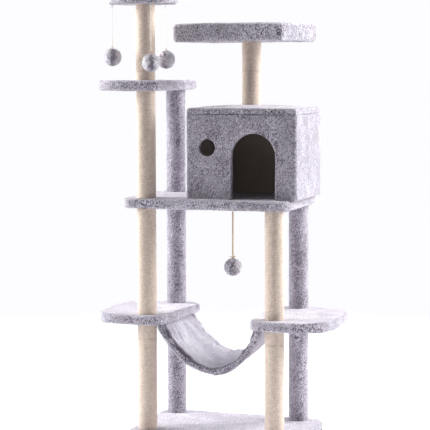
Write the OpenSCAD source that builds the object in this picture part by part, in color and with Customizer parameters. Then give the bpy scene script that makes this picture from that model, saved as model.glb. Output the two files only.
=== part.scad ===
// Tall cat tree: plush-covered decks on sisal and plush posts, with a cat house,
// a raised bed, a hammock and four hanging pompon balls.
// Origin: underside of the base, midway between the four posts. +X right, +Y back, +Z up.

/* [Posts] */
// Outside diameter of a sisal-wrapped post
sisal_d = 70; // [66:1:80]
// Outside diameter of a plush-covered post
sleeve_d = 73; // [68:1:84]
// Outside diameter of the cardboard core tubes
tube_d = 60; // [56:1:62]
// Wall thickness of the cardboard core tubes
tube_wall = 5; // [3:0.5:7]
// Length of a full post between two decks
post_len = 387; // [370:1:400]
// Length of the post under the top perch
perch_post_len = 273; // [250:1:300]
// Length of the post under the bed
bed_post_len = 238; // [220:1:260]
// Distance of each post column from the middle, left and right
post_x = 241.5; // [236:0.5:246]
// Distance of each post column from the middle, front and back
post_y = 157; // [152:1:162]

/* [Decks] */
// Thickness of a covered deck
deck_t = 36; // [34:1:40]
// Thickness of the plush fabric with its pile
plush_t = 9; // [7:0.5:10]
// Thickness of the felt under the base
felt_t = 3; // [2:0.5:4]

/* [House] */
// Width of the house
house_w = 412; // [400:1:420]
// Depth of the house
house_d = 336; // [326:1:340]
// Height of the house walls
house_h = 301; // [290:1:310]
// Thickness of the covered lid
lid_t = 25; // [22:1:30]
// Thickness of the wooden wall and lid panels
panel_t = 12; // [10:1:14]
// Thickness of the plush skin on the walls
skin_t = 8; // [6:0.5:9]
// Width of the arched doorway
door_w = 163; // [150:1:166]
// Height of the arched doorway
door_h = 236; // [225:1:245]
// Diameter of the round window
window_d = 62; // [50:1:66]

/* [Bed] */
// Width of the bed
bed_w = 441; // [430:1:455]
// Depth of the bed
bed_d = 305; // [295:1:320]
// Height of the bed from its underside to the top of its rim
bed_h = 65; // [60:1:72]
// Angle the bed is turned on its post
bed_turn = -9.5; // [-12:0.5:-8]
// Width of the padded rim
rim_w = 52; // [44:1:58]

/* [Hammock] */
// Lowest point of the front hem's middle line
front_low = 260; // [240:1:280]
// Lowest point of the back hem's middle line
back_low = 287; // [270:1:300]
// Thickness of the lined cloth
cloth_t = 8; // [6:0.5:10]
// Thickness and width of the padded hems
hem_t = 29; // [24:1:32]

/* [Balls] */
// Diameter of the plush balls
ball_d = 64; // [58:1:66]
// Diameter of the elastic strings
string_d = 2; // [1.6:0.1:2.4]
// Diameter of the jute rope under the platform
rope_d = 6.6; // [5:0.1:7]
// Radius of the ring of strings under the perch
ball_ring_r = 111; // [108:1:112]

/* [Hidden] */
$fn = 48;
fit = 0.25;                 // clearance between parts that slip over each other
bolt_r = 4;                 // M8 bolts and studs
bolt_hole_r = bolt_r + fit;
bolt_reach = 22;            // how far a bolt or stud enters a plug
plug_t = 26;
base_outline = [[-245, -190, 60], [275, -190, 60], [275, 145, 60], [-245, 145, 60]];
left_outline = [[-325, -85, 120], [-222, -155, 50], [-200, 148, 52], [-325, 80, 120]];
right_outline = [[206, -176, 46], [299, -72, 150], [299, 52, 150], [206, 156, 46]];
platform_outline = [[-281, -155, 45], [255, -155, 45], [255, 162, 45], [-281, 162, 45]];
oval_outline = [[-311, -95, 130], [-212, -187, 38], [-212, 194, 38], [-311, 100, 130]];
perch_r = 125;
perch_at = [-249, -159];
perch_outline = [[perch_at[0], perch_at[1], perch_r]];
bed_corner = 22;
corner_min = 8;             // least corner radius inside the bed
overlap = 0.01;             // cuts reach this far past a shared face

// Heights of the undersides of the decks, worked up from the floor
shelf_z = deck_t + post_len;
platform_z = shelf_z + deck_t + post_len;
oval_z = platform_z + deck_t + post_len;
perch_z = oval_z + deck_t + perch_post_len;
floor_z = platform_z + deck_t;          // floor of the house
lid_z = floor_z + house_h;
bed_post_z = lid_z + lid_t;
bed_z = bed_post_z + bed_post_len;

left_front = [-post_x, -post_y];
right_front = [post_x, -post_y];
left_back = [-post_x, post_y];
right_back = [post_x, post_y];
house_at = [113, 18];
bed_post = [101, 22];
bed_at = [74, 28];
door_x = 159.5;
window_at = [-13, floor_z + 184];

// Every post: its place, its lower end, its length
sisal_posts = [
    [left_front, deck_t, post_len], [left_front, shelf_z + deck_t, post_len],
    [left_front, floor_z, post_len], [left_front, oval_z + deck_t, perch_post_len],
    [right_front, deck_t, post_len], [right_front, shelf_z + deck_t, post_len],
    [bed_post, bed_post_z, bed_post_len]
];
sleeve_posts = [
    [left_back, deck_t, post_len], [left_back, shelf_z + deck_t, post_len],
    [left_back, floor_z, post_len],
    [right_back, deck_t, post_len], [right_back, shelf_z + deck_t, post_len]
];
// Studs that run through a deck from post to post: place, underside of the deck
through_studs = [
    [left_front, shelf_z], [left_front, platform_z], [left_front, oval_z],
    [right_front, shelf_z], [left_back, shelf_z], [left_back, platform_z],
    [right_back, shelf_z]
];
// Studs that end inside the deck above a post
end_studs = [
    [left_front, perch_z], [left_back, oval_z], [right_front, platform_z],
    [right_back, platform_z], [bed_post, bed_z]
];
end_stud_up = 20;           // how far an end stud enters its deck

// Hanging points: place, height of the ball's centre, angle outwards, deck underside
perch_angles = [199, 305, 64];
perch_ball_z = [1389, 1368, 1380];
drop_ball_at = [55, -60];
drop_ball_z = 630;
staple_drop = 6;            // crown of a staple below the deck
staple_half = 4;
staple_leg = 8;             // how far a staple goes into its deck
wire_r = 0.8;
ring_r = 4;                 // middle radius of the connecting ring
ring_wire = 1;
link_gap = 0.3;             // play between linked rings
ring_drop = staple_drop + ring_r - ring_wire - wire_r - link_gap;
eye_r = 2.7;                // eye at the top of a string
eye_wire = 1;
string_sunk = 2;            // how far a string is sewn into its ball

// A flat plate with rounded corners: each corner is [x, y, radius], drawn in by inset
module plate(outline, inset, z, t) {
    translate([0, 0, z]) linear_extrude(height = t) hull()
        for (c = outline) translate([c[0], c[1]]) circle(r = c[2] - inset, $fn = 64);
}

// Upright round bar or hole
module bar(at, z, r, h) {
    translate([at[0], at[1], z]) cylinder(r = r, h = h);
}

// Holes for the studs that pass through or end in the deck at height z
module stud_holes(z) {
    for (s = through_studs) if (s[1] == z) bar(s[0], z - 1, bolt_hole_r, deck_t + 2);
    for (s = end_studs) if (s[1] == z) bar(s[0], z - 1, bolt_hole_r, end_stud_up + 1 + fit);
}

// Wooden board inside a covered deck
module deck_board(outline, z) {
    color("burlywood") difference() {
        plate(outline, plush_t, z + plush_t, deck_t - 2 * plush_t);
        stud_holes(z);
        if (z == platform_z) house_screw_holes();
    }
}

// Plush sewn all round a deck's board
module deck_cover(outline, z) {
    color("silver") difference() {
        plate(outline, 0, z, deck_t);
        plate(outline, plush_t, z + plush_t, deck_t - 2 * plush_t);
        stud_holes(z);
        if (z == platform_z) house_screw_holes();
    }
}

module base_board() {
    color("burlywood") difference() {
        plate(base_outline, plush_t, felt_t, deck_t - plush_t - felt_t);
        base_bolt_holes();
    }
}

module base_cover() {
    color("silver") difference() {
        plate(base_outline, 0, felt_t, deck_t - felt_t);
        plate(base_outline, plush_t, felt_t - 1, deck_t - plush_t - felt_t + 1);
        base_bolt_holes();
    }
}

module base_felt() {
    color("dimgray") plate(base_outline, 0, 0, felt_t);
}

base_bolt_head_z = felt_t + 1;
washer_t = 1.6;
washer_r = 11;
head_h = 5.5;
head_r = 7.5;

// Counterbored holes in the base for the four bolts into the lowest posts
module base_bolt_holes() {
    for (p = [left_front, right_front, left_back, right_back]) {
        bar(p, 0, bolt_hole_r, deck_t + 1);
        bar(p, 0, washer_r + 1, base_bolt_head_z + head_h + washer_t);
    }
}

// Rope or plush layer around one post
module post_skin(post, d, name) {
    color(name) translate([post[0][0], post[0][1], post[1]]) difference() {
        cylinder(d = d, h = post[2], $fn = 96);
        translate([0, 0, -1]) cylinder(d = tube_d + 2 * fit, h = post[2] + 2, $fn = 96);
    }
}

module wrap(i) { post_skin(sisal_posts[i], sisal_d, "antiquewhite"); }

module sleeve(i) { post_skin(sleeve_posts[i], sleeve_d, "darkgray"); }

// Cardboard core tubes of all the posts
module post_tubes() {
    color("peru") for (p = concat(sisal_posts, sleeve_posts))
        translate([p[0][0], p[0][1], p[1]]) difference() {
            cylinder(d = tube_d, h = p[2], $fn = 72);
            translate([0, 0, -1]) cylinder(d = tube_d - 2 * tube_wall, h = p[2] + 2, $fn = 72);
        }
}

// Bored wooden plugs in both ends of every tube
module post_plugs() {
    color("tan") for (p = concat(sisal_posts, sleeve_posts), z = [p[1], p[1] + p[2] - plug_t])
        translate([p[0][0], p[0][1], z]) difference() {
            cylinder(d = tube_d - 2 * tube_wall - 2 * fit, h = plug_t, $fn = 72);
            translate([0, 0, -1]) cylinder(r = bolt_hole_r, h = plug_t + 2);
        }
}

module post_studs() {
    color("lightsteelblue") {
        for (s = through_studs) bar(s[0], s[1] - bolt_reach, bolt_r, deck_t + 2 * bolt_reach);
        for (s = end_studs) bar(s[0], s[1] - bolt_reach, bolt_r, end_stud_up + bolt_reach);
    }
}

// Hexagon-head bolt whose head starts at z and points up
module bolt(at, z, grip) {
    bar(at, z + head_h, bolt_r, grip);
    translate([at[0], at[1], z]) cylinder(r = head_r, h = head_h, $fn = 6);
}

module post_bolts() {
    color("lightsteelblue") {
        for (p = [left_front, right_front, left_back, right_back])
            bolt(p, base_bolt_head_z, deck_t - base_bolt_head_z - head_h + bolt_reach);
        bolt(bed_post, lid_z - washer_t - head_h, washer_t + lid_t + bolt_reach);
    }
}

module washer(at, z) {
    translate([at[0], at[1], z]) difference() {
        cylinder(r = washer_r, h = washer_t);
        translate([0, 0, -1]) cylinder(r = bolt_hole_r, h = washer_t + 2);
    }
}

module bolt_washers() {
    color("silver") {
        for (p = [left_front, right_front, left_back, right_back])
            washer(p, base_bolt_head_z + head_h);
        washer(bed_post, lid_z - washer_t);
    }
}

// --- House ---

house_x0 = house_at[0] - house_w / 2;
house_y0 = house_at[1] - house_d / 2;
house_corner = 14;
screw_r = 2;
screw_head_r = 4;
screw_head_h = 2.4;
screw_in = 20;              // how far a house screw enters a wall
wall_in = skin_t + panel_t / 2;
screw_x = [house_x0 + 60, house_x0 + house_w - 44];   // clear of the window and the door
screw_y = [house_y0 + wall_in, house_y0 + house_d - wall_in];
lid_screw_z = lid_z + (lid_t + panel_t) / 2;

// Block of the house's plan, drawn in by inset
module house_block(inset, z, h) {
    r = max(house_corner - inset, 1);
    plate([for (sx = [-1, 1], sy = [-1, 1])
        [house_at[0] + sx * (house_w / 2 - inset - r), house_at[1] + sy * (house_d / 2 - inset - r), r]],
        0, z, h);
}

// Doorway: straight sides and a half-round top, along Y from y0 over length l
module door_hole(grow, y0, l) {
    r = door_w / 2 + grow;
    spring = door_h - door_w / 2;
    translate([door_x - r, y0, floor_z - 1]) cube([2 * r, l, spring + 1]);
    translate([door_x, y0 + l, floor_z + spring]) rotate([90, 0, 0]) cylinder(r = r, h = l, $fn = 72);
}

module window_hole(grow, y0, l) {
    translate([window_at[0], y0 + l, window_at[1]]) rotate([90, 0, 0])
        cylinder(d = window_d + 2 * grow, h = l);
}

// Screws up through the platform into the walls, and down through the lid into them
module house_screw_shapes(gap) {
    for (x = screw_x, y = screw_y) {
        bar([x, y], platform_z + screw_head_h, screw_r + gap, deck_t - screw_head_h + screw_in + gap);
        bar([x, y], platform_z - gap, screw_head_r + gap, screw_head_h + gap);
        bar([x, y], lid_z - screw_in - gap, screw_r + gap, screw_in + lid_screw_z - lid_z);
        bar([x, y], lid_screw_z - screw_head_h, screw_head_r + gap, screw_head_h + gap);
    }
}

module house_screw_holes() { house_screw_shapes(fit); }

module house_screws() { color("gray") house_screw_shapes(0); }

// One wall board: lowest corner and size in plan, with the door and the window cut if it is the front
module wall(x, y, w, d, is_front = false) {
    color("burlywood") difference() {
        translate([x, y, floor_z]) cube([w, d, house_h]);
        house_screw_holes();
        if (is_front) {
            door_hole(skin_t, y - 1, d + 2);
            window_hole(skin_t, y - 1, d + 2);
        }
    }
}

panel_w = house_w - 2 * skin_t;
side_d = house_d - 2 * skin_t - 2 * panel_t;

module house_front_panel() {
    wall(house_x0 + skin_t, house_y0 + skin_t, panel_w, panel_t, true);
}

module house_back_panel() {
    wall(house_x0 + skin_t, house_y0 + house_d - skin_t - panel_t, panel_w, panel_t);
}

module house_left_panel() {
    wall(house_x0 + skin_t, house_y0 + skin_t + panel_t, panel_t, side_d);
}

module house_right_panel() {
    wall(house_x0 + house_w - skin_t - panel_t, house_y0 + skin_t + panel_t, panel_t, side_d);
}

// Plush skin on the outside of the walls, turned in around the door and the window
module house_skin() {
    y0 = house_y0 + skin_t;
    color("darkgray") difference() {
        union() {
            difference() {
                house_block(0, floor_z, house_h);
                translate([house_x0 + skin_t, y0, floor_z - 1])
                    cube([panel_w, house_d - 2 * skin_t, house_h + 2]);
            }
            intersection() {
                union() {
                    door_hole(skin_t - fit, y0 - 0.5, panel_t + 0.5);
                    window_hole(skin_t - fit, y0 - 0.5, panel_t + 0.5);
                }
                translate([house_x0, house_y0, floor_z]) cube([house_w, house_d, house_h]);
            }
        }
        door_hole(0, house_y0 - 1, skin_t + panel_t + 2);
        window_hole(0, house_y0 - 1, skin_t + panel_t + 2);
    }
}

lid_inset = 2;
lid_skin = (lid_t - panel_t) / 2;

module house_lid_board() {
    color("burlywood") difference() {
        house_block(lid_inset + lid_skin, lid_z + lid_skin, panel_t);
        house_screw_holes();
        bar(bed_post, lid_z, bolt_hole_r, lid_t);
    }
}

module house_lid_cover() {
    color("silver") difference() {
        house_block(lid_inset, lid_z, lid_t);
        house_block(lid_inset + lid_skin, lid_z + lid_skin, panel_t);
        house_screw_holes();
        bar(bed_post, lid_z - 1, bolt_hole_r, lid_t + 2);
    }
}

// --- Bed ---

bed_skin = 6;
bed_floor_t = 15;           // wooden board
cushion_t = 24;

// Block of the bed's plan, turned with the bed and drawn in by inset
module bed_block(inset, z, h) {
    r = max(bed_corner - inset, corner_min);
    translate([bed_at[0], bed_at[1], 0]) rotate(bed_turn)
        plate([for (sx = [-1, 1], sy = [-1, 1])
            [sx * (bed_w / 2 - inset - r), sy * (bed_d / 2 - inset - r), r]], 0, bed_z + z, h);
}

module bed_board() {
    color("burlywood") difference() {
        bed_block(bed_skin, bed_skin, bed_floor_t);
        stud_holes(bed_z);
    }
}

// Foam bolster on the edge of the board
module bed_foam_rim() {
    z = bed_skin + bed_floor_t;
    color("khaki") difference() {
        bed_block(bed_skin, z, bed_h - bed_skin - z);
        bed_block(rim_w - bed_skin, z - 1, bed_h);
    }
}

// Plush skin round the board and over the bolster
module bed_cover() {
    z = bed_skin + bed_floor_t;
    color("silver") difference() {
        bed_block(0, 0, bed_h);
        bed_block(bed_skin, bed_skin, bed_floor_t);
        difference() {
            bed_block(bed_skin, z - overlap, bed_h - bed_skin - z + overlap);
            bed_block(rim_w - bed_skin, z - 1, bed_h);
        }
        bed_block(rim_w, z, bed_h);
        stud_holes(bed_z);
    }
}

module bed_cushion() {
    color("gainsboro") bed_block(rim_w + 1, bed_skin + bed_floor_t, cushion_t);
}

// --- Hammock: a sling hung between the two shelves ---

hammock_front = -172;
hammock_back = 130;
cloth_ends = [[-188, 181], [-158, 176]];    // left and right ends, front and back
low_x = 13;                 // where the sling hangs lowest
sag_power = [1.87, 1.5];    // how full the curve is, left and right of its lowest point
sag_steps = 26;

function mix(a, b, t) = a + (b - a) * t;
function across(y) = (y - hammock_front) / (hammock_back - hammock_front);
function end_x(side, y) = mix(cloth_ends[0][side], cloth_ends[1][side], across(y));
// Point of the sling's middle line at angle a, from -90 at the left end to 90 at the right
function sag_point(a, y) =
    let (side = a < 0 ? 0 : 1, low = mix(front_low, back_low, across(y)))
    [low_x + abs(sin(a)) * (end_x(side, y) - low_x),
     shelf_z - (shelf_z - low) * pow(max(cos(a), 0), sag_power[side])];
function sag_normal(a, y) =
    abs(a) > 89.9 ? [-sign(a), 0]
    : let (d = sag_point(a + 0.5, y) - sag_point(a - 0.5, y)) [-d[1], d[0]] / norm(d);

// Closed strip of the sling from y0 to y1, t thick
module sling(y0, y1, t) {
    angles = [for (i = [0:sag_steps]) -90 + 180 * i / sag_steps];
    ring = [[y0, -1], [y1, -1], [y1, 1], [y0, 1]];
    points = [for (a = angles, k = ring)
        let (p = sag_point(a, k[0]) + sag_normal(a, k[0]) * k[1] * t / 2) [p[0], k[0], p[1]]];
    sides = [for (i = [0:sag_steps - 1], k = [0:3])
        let (a = 4 * i + k, b = 4 * i + (k + 1) % 4)
        each [[a, b, b + 4], [a, b + 4, a + 4]]];
    last = 4 * sag_steps;
    ends = [[0, 3, 2], [0, 2, 1], [last, last + 1, last + 2], [last, last + 2, last + 3]];
    polyhedron(points, concat(sides, ends));
}

module hammock_cloth() {
    color("lightgray") sling(hammock_front + hem_t, hammock_back - hem_t, cloth_t);
}

module hammock_front_hem() {
    color("darkgray") sling(hammock_front, hammock_front + hem_t, hem_t);
}

module hammock_back_hem() {
    color("darkgray") sling(hammock_back - hem_t, hammock_back, hem_t);
}

batten_y = [-118, 96];
batten_w = 18;
batten_t = 12;
batten_gap = cloth_t / 2 + 0.5;
batten_screw_y = [-90, -10, 70];
batten_screw_in = 24;       // how far a batten's screw enters the shelf

// Wooden strips under the shelves that hold the ends of the cloth
module hammock_battens() {
    color("burlywood") for (side = [0, 1]) {
        out = side == 0 ? -1 : 1;
        translate([0, 0, shelf_z - batten_t]) linear_extrude(height = batten_t) polygon([
            for (y = batten_y) [end_x(side, y) + out * batten_gap, y],
            for (y = [batten_y[1], batten_y[0]]) [end_x(side, y) + out * (batten_gap + batten_w), y]
        ]);
    }
}

module hammock_screws() {
    color("gray") for (side = [0, 1], y = batten_screw_y) {
        x = end_x(side, y) + (side == 0 ? -1 : 1) * (batten_gap + batten_w / 2);
        bar([x, y], shelf_z - batten_t, screw_r, batten_t + batten_screw_in);
        bar([x, y], shelf_z - batten_t - screw_head_h, screw_head_r, screw_head_h);
    }
}

// --- Hanging balls ---

function perch_hang(i) = perch_at + ball_ring_r * [cos(perch_angles[i]), sin(perch_angles[i])];

// Staple whose crown runs across the outward direction
module staple(at, turn, z) {
    translate([at[0], at[1], z]) rotate(turn) {
        for (s = [-1, 1]) translate([0, s * staple_half, -staple_drop])
            cylinder(r = wire_r, h = staple_drop + staple_leg, $fn = 16);
        translate([0, staple_half + wire_r, -staple_drop]) rotate([90, 0, 0])
            cylinder(r = wire_r, h = 2 * (staple_half + wire_r), $fn = 16);
    }
}

module string_staples() {
    color("silver") {
        for (i = [0:2]) staple(perch_hang(i), perch_angles[i], perch_z);
        staple(drop_ball_at, 0, platform_z);
    }
}

// Ring that links a staple to a string's eye
module ring(at, turn, z) {
    color("silver") translate([at[0], at[1], z - ring_drop]) rotate(turn) rotate([90, 0, 0])
        rotate_extrude($fn = 40) translate([ring_r, 0]) circle(r = ring_wire, $fn = 16);
}

// Line from its eye on the ring down to the top of its ball
module line(at, turn, z, ball_z, d) {
    eye_z = z - ring_drop - ring_r - (eye_r - eye_wire - ring_wire - link_gap);
    bottom = ball_z + ball_d / 2 - string_sunk;
    translate([at[0], at[1], eye_z]) rotate(turn + 90) rotate([90, 0, 0])
        rotate_extrude($fn = 32) translate([eye_r, 0]) circle(r = eye_wire, $fn = 16);
    bar(at, bottom, d / 2, eye_z - eye_r - bottom);
}

module ball(at, z) {
    color("slategray") translate([at[0], at[1], z]) sphere(d = ball_d, $fn = 64);
}

module perch_ring(i) { ring(perch_hang(i), perch_angles[i], perch_z); }

module perch_string(i) {
    color("wheat") line(perch_hang(i), perch_angles[i], perch_z, perch_ball_z[i], string_d);
}

module perch_ball(i) { ball(perch_hang(i), perch_ball_z[i]); }

module drop_ring() { ring(drop_ball_at, 0, platform_z); }

module drop_rope() { color("tan") line(drop_ball_at, 0, platform_z, drop_ball_z, rope_d); }

module drop_ball() { ball(drop_ball_at, drop_ball_z); }

base_board();
base_cover();
base_felt();
deck_board(left_outline, shelf_z);  // left_shelf_board
deck_cover(left_outline, shelf_z);  // left_shelf_cover
deck_board(right_outline, shelf_z);  // right_shelf_board
deck_cover(right_outline, shelf_z);  // right_shelf_cover
deck_board(platform_outline, platform_z);  // platform_board
deck_cover(platform_outline, platform_z);  // platform_cover
deck_board(oval_outline, oval_z);  // oval_shelf_board
deck_cover(oval_outline, oval_z);  // oval_shelf_cover
deck_board(perch_outline, perch_z);  // perch_board
deck_cover(perch_outline, perch_z);  // perch_cover
wrap(0);  // left_front_wrap_1
wrap(1);  // left_front_wrap_2
wrap(2);  // left_front_wrap_3
wrap(3);  // left_front_wrap_4
wrap(4);  // right_front_wrap_1
wrap(5);  // right_front_wrap_2
wrap(6);  // bed_post_wrap
sleeve(0);  // left_back_sleeve_1
sleeve(1);  // left_back_sleeve_2
sleeve(2);  // left_back_sleeve_3
sleeve(3);  // right_back_sleeve_1
sleeve(4);  // right_back_sleeve_2
post_tubes();
post_plugs();
post_studs();
post_bolts();
bolt_washers();
house_front_panel();
house_back_panel();
house_left_panel();
house_right_panel();
house_skin();
house_lid_board();
house_lid_cover();
house_screws();
bed_board();
bed_foam_rim();
bed_cover();
bed_cushion();
hammock_cloth();
hammock_front_hem();
hammock_back_hem();
hammock_battens();
hammock_screws();
string_staples();
perch_ring(0);  // perch_ring_a
perch_string(0);  // perch_string_a
perch_ball(0);  // perch_ball_a
perch_ring(1);  // perch_ring_b
perch_string(1);  // perch_string_b
perch_ball(1);  // perch_ball_b
perch_ring(2);  // perch_ring_c
perch_string(2);  // perch_string_c
perch_ball(2);  // perch_ball_c
drop_ring();
drop_rope();
drop_ball();
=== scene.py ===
"""A tall cat tree: plush decks on sisal and plush posts, with a cat house, a raised bed, a hammock
and four plush balls on strings. Lengths are in metres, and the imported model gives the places."""

import math

import bpy
import numpy as np
from mathutils import Matrix, Vector


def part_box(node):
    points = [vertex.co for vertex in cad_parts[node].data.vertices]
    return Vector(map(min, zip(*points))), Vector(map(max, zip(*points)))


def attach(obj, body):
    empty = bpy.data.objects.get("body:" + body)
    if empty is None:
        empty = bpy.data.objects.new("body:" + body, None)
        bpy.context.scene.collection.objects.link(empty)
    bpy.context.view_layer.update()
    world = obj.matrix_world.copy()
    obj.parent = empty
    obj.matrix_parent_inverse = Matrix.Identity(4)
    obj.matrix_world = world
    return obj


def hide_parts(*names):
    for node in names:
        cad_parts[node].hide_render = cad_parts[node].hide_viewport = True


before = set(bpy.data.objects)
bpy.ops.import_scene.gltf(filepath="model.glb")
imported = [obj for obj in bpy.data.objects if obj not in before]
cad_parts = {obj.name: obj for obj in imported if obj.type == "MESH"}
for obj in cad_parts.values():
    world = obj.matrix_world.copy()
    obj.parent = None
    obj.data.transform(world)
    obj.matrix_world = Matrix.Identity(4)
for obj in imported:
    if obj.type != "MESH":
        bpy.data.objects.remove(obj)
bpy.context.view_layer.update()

MM = 0.001


# --- Camera -----------------------------------------------------------------------------------
# A long lens about six metres away, a little above the middle of the tree and to its right.

camera_azimuth = math.radians(18.63)
camera_elevation = math.radians(5.15)
camera_roll = math.radians(-0.16)
camera_distance = 6.0
camera_target = Vector((-0.022, -0.033, 0.8146))

camera_data = bpy.data.cameras.new("camera")
camera_data.lens = 137.66
camera_data.clip_end = 60
camera = bpy.data.objects.new("camera", camera_data)
turn = (
    Matrix.Rotation(camera_azimuth, 4, "Z")
    @ Matrix.Rotation(math.pi / 2 - camera_elevation, 4, "X")
    @ Matrix.Rotation(camera_roll, 4, "Z")
)
camera.matrix_world = Matrix.Translation(camera_target + turn @ Vector((0, 0, camera_distance))) @ turn
bpy.context.collection.objects.link(camera)
bpy.context.scene.camera = camera


# --- Strings and rope -------------------------------------------------------------------------
# Thin braided elastic carries the three perch balls, and three-strand jute the lower one. Each
# hangs plumb from a steel ring and is sewn into its ball, so both ends are on the object.


def linear(hex_colour):
    """sRGB hex to linear RGBA."""
    channels = [int(hex_colour[i : i + 2], 16) / 255 for i in (1, 3, 5)]
    return [c / 12.92 if c <= 0.04045 else ((c + 0.055) / 1.055) ** 2.4 for c in channels] + [1]


def add(tree, kind, sockets=None, **settings):
    """A new node with its settings; each socket gets a value or a link from another node's output."""
    new = tree.nodes.new(kind)
    for key, value in settings.items():
        setattr(new, key, value)
    for key, value in (sockets or {}).items():
        if isinstance(value, bpy.types.NodeSocket):
            tree.links.new(value, new.inputs[key])
        else:
            new.inputs[key].default_value = value
    return new


def blank_material(name):
    """An empty node material with its output."""
    material = bpy.data.materials.new(name)
    material.use_nodes = True
    material.node_tree.nodes.clear()
    return material, material.node_tree, material.node_tree.nodes.new("ShaderNodeOutputMaterial")


def grid_faces(rows, columns, wrap=False):
    """Quads of a grid of points stored row by row. With wrap, the last column joins the first."""
    r, c = np.meshgrid(np.arange(rows - 1), np.arange(columns - (0 if wrap else 1)), indexing="ij")
    right = (c + 1) % columns
    return np.stack([r * columns + c, r * columns + right,
                     (r + 1) * columns + right, (r + 1) * columns + c], -1).reshape(-1, 4)


def make_piece(name, points, faces, material, body="root", tone=None):
    """A mesh object from arrays of points and quads (a repeated last corner makes a triangle)."""
    mesh = bpy.data.meshes.new(name)
    corners = np.asarray(faces)
    whole = corners[:, 3] != corners[:, 2]
    sizes = np.where(whole, 4, 3)
    keep = np.ones(corners.shape, bool)
    keep[:, 3] = whole
    mesh.vertices.add(len(points))
    mesh.vertices.foreach_set("co", np.asarray(points, np.float32).ravel())
    mesh.loops.add(int(sizes.sum()))
    mesh.loops.foreach_set("vertex_index", corners[keep].astype(np.int32))
    mesh.polygons.add(len(corners))
    mesh.polygons.foreach_set("loop_start", np.concatenate([[0], np.cumsum(sizes)[:-1]]).astype(np.int32))
    mesh.polygons.foreach_set("use_smooth", np.ones(len(corners), bool))
    if tone is not None:
        layer = mesh.attributes.new("tone", "FLOAT", "POINT")
        layer.data.foreach_set("value", np.asarray(tone, np.float32))
    mesh.update()
    mesh.validate()
    mesh.materials.append(material)
    piece = bpy.data.objects.new(name, mesh)
    bpy.context.collection.objects.link(piece)
    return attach(piece, body)


def end_caps(rings, sides):
    """Triangles that close the first and the last ring of a tube, each fanned from one point."""
    last = (rings - 1) * sides
    first_fan = [[0, i + 1, i, i] for i in range(1, sides - 1)]
    return first_fan + [[last, last + i, last + i + 1, last + i + 1] for i in range(1, sides - 1)]


def carry(path, radius, sides=10, sideways=(1, 0, 0)):
    """A tube: a circle of that radius carried along the path, square to it, with its ends closed."""
    path = np.asarray(path, float)
    along = np.gradient(path, axis=0)
    along /= np.linalg.norm(along, axis=1)[:, None]
    across = np.cross(along, np.cross(np.asarray(sideways, float), along))
    across /= np.linalg.norm(across, axis=1)[:, None]
    third = np.cross(along, across)
    angle = np.linspace(0, 2 * math.pi, sides, endpoint=False)
    radius = np.broadcast_to(radius, len(path))[:, None, None]
    rings = path[:, None] + radius * (
        np.cos(angle)[None, :, None] * across[:, None] + np.sin(angle)[None, :, None] * third[:, None]
    )
    faces = np.concatenate([grid_faces(len(path), sides, True), end_caps(len(path), sides)])
    return rings.reshape(-1, 3), faces


def join(*parts):
    """Several (points, faces) pairs as one."""
    points, faces, start = [], [], 0
    for p, f in parts:
        points.append(p)
        faces.append(np.asarray(f) + start)
        start += len(p)
    return np.concatenate(points), np.concatenate(faces)


def cord_material(name, light, dark, spacing):
    """Twisted or braided fibre: dull, with fine lengthwise lines about spacing metres apart."""
    material, tree, output = blank_material(name)
    place = add(tree, "ShaderNodeTexCoord")
    lines = add(tree, "ShaderNodeTexNoise", {"Vector": place.outputs["Object"],
                                             "Scale": 1 / spacing, "Detail": 3.0})
    colour = add(tree, "ShaderNodeMix", {0: lines.outputs[0], 6: linear(dark), 7: linear(light)},
                 data_type="RGBA")
    bump = add(tree, "ShaderNodeBump", {"Height": lines.outputs[0], "Strength": 0.5, "Distance": 0.0004})
    shader = add(tree, "ShaderNodeBsdfPrincipled", {"Base Color": colour.outputs[2], "Roughness": 0.85,
                                                    "Normal": bump.outputs["Normal"]})
    tree.links.new(shader.outputs[0], output.inputs["Surface"])
    return material


# Braided elastic: cream polyester over rubber. Jute: brown bast fibre, hairy and dull.
elastic = cord_material("braided_elastic", "#fffdf8", "#f6ece0", 0.8 * MM)
jute = cord_material("twisted_jute", "#ecdcc6", "#c4a888", 0.9 * MM)

string_d = 2 * MM
rope_d = 6.6 * MM
eye_depth = 7.4 * MM        # height of the eye at the top of each string
sewn_in = 2 * MM            # how far a string goes into its ball
eye_wire = 1 * MM           # radius of the thread that each eye is made from


def string_line(node, steps=40):
    """Points straight down the middle of a string's CAD node, from its eye to where it is sewn in."""
    low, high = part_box(node)
    x, y = (low.x + high.x) / 2, (low.y + high.y) / 2
    z = np.linspace(high.z - eye_depth, low.z, steps)
    return np.stack([np.full(steps, x), np.full(steps, y), z], 1)


def eye_loop(line, tilt, wire, radius=2.7 * MM):
    """The sewn loop at the top of a string: a ring standing on edge, square to the outward angle."""
    a = np.linspace(0, 2 * math.pi, 25)
    side = np.array([-math.sin(tilt), math.cos(tilt), 0])
    centre = line[0] + [0, 0, radius]
    ring = centre + radius * (np.cos(a)[:, None] * side + np.sin(a)[:, None] * np.array([0, 0, 1.0]))
    return carry(ring, wire, 8, (math.cos(tilt), math.sin(tilt), 0.01))


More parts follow.
